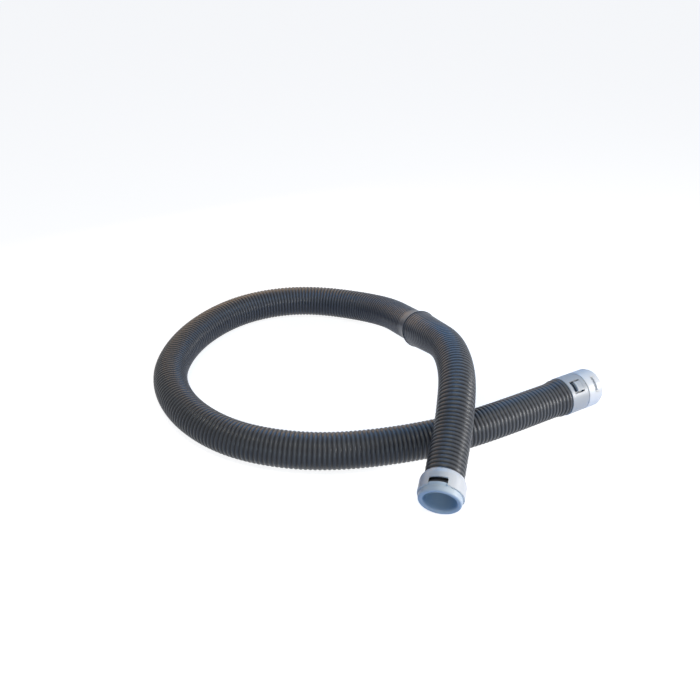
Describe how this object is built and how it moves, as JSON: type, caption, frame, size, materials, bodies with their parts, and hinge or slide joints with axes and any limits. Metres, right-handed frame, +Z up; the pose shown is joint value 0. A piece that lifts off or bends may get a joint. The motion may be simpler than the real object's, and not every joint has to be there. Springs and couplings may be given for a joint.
{
  "type": "pool vacuum hose",
  "caption": "Ribbed pool vacuum hose laid in a crossed loop, with a joiner, a fixed lock-ring cuff and a swivelling lock-ring cuff with a press latch.",
  "frame": {"origin": "bottom centre of the whole hose as it lies in its loop, on the floor", "axes": "+Z up, +X towards the end with the swivel cuff, -Y towards the end with the fixed cuff"},
  "size_m": [0.6322, 0.5657, 0.1115],
  "materials": {
    "hose": "dark grey flexible plastic with a satin sheen on the ribs",
    "band": "smooth dark grey flexible plastic",
    "sleeve": "plain grey moulded plastic",
    "cuff": "pale blue-grey smooth moulded plastic",
    "lock_ring": "white smooth moulded plastic",
    "collar": "light grey smooth moulded plastic",
    "latch": "light grey smooth moulded plastic",
    "washer": "plain slippery plastic",
    "clip": "spring steel",
    "seal": "black rubber"
  },
  "bodies": {
    "hose": {"rear_hose": "hose", "front_hose": "hose", "joiner_tube": "sleeve", "joiner_band": "band", "front_cuff": "cuff", "rear_ferrule": "sleeve", "rear_collar": "collar", "swivel_washer": "washer", "swivel_clip": "clip"},
    "front_ring": {"front_lock_ring": "lock_ring"},
    "swivel": {"rear_cuff": "cuff", "swivel_seal": "seal"},
    "rear_ring": {"rear_lock_ring": "lock_ring"},
    "latch": {"latch_tab": "latch"}
  },
  "joints": [
    {"name": "front_ring_slide", "type": "slide", "parent": "hose", "child": "front_ring", "axis": [-0.2273, -0.9118, -0.342], "range_m": [0, 0.0067]},
    {"name": "rear_swivel", "type": "hinge", "parent": "hose", "child": "swivel", "pos_m": [0.29029, -0.0304, 0.0265], "axis": [0.8572, 0.515, 0], "continuous": true},
    {"name": "rear_ring_slide", "type": "slide", "parent": "swivel", "child": "rear_ring", "axis": [0.8572, 0.515, 0], "range_m": [0, 0.0037]},
    {"name": "latch_press", "type": "hinge", "parent": "hose", "child": "latch", "pos_m": [0.28301, -0.05226, 0.04713], "axis": [0.4167, -0.6935, -0.5878], "range_deg": [0, 5], "stiffness_Nm_per_rad": 0.4}
  ]
}
